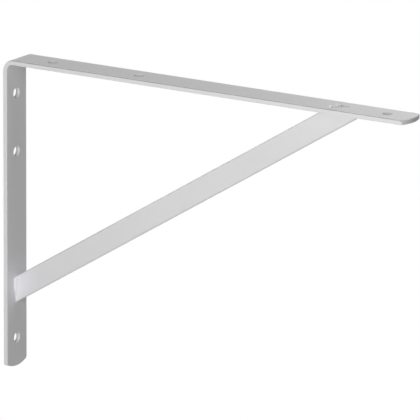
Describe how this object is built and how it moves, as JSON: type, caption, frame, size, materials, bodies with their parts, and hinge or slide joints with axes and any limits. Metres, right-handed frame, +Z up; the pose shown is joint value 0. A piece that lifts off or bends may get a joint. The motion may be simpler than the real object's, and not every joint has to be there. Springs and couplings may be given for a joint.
{
  "type": "reinforced shelf bracket",
  "caption": "L-shaped steel shelf bracket bent from flat bar, with a welded diagonal flat brace on edge, six plain screw holes and gently curved ends, painted pale grey-white.",
  "frame": {"origin": "on the wall plane at mid-width, midway between the highest and the lowest wall screw hole, 177 mm below the shelf face", "axes": "+X out from the wall along the arm, +Y across the bar's width, +Z up along the leg"},
  "size_m": [0.5, 0.038, 0.346],
  "materials": {
    "powder_coat": "satin powder coat, very pale cool grey"
  },
  "bodies": {
    "root": {"bent_bar": "powder_coat", "brace": "powder_coat", "lower_weld": "powder_coat", "upper_weld": "powder_coat"}
  },
  "joints": []
}
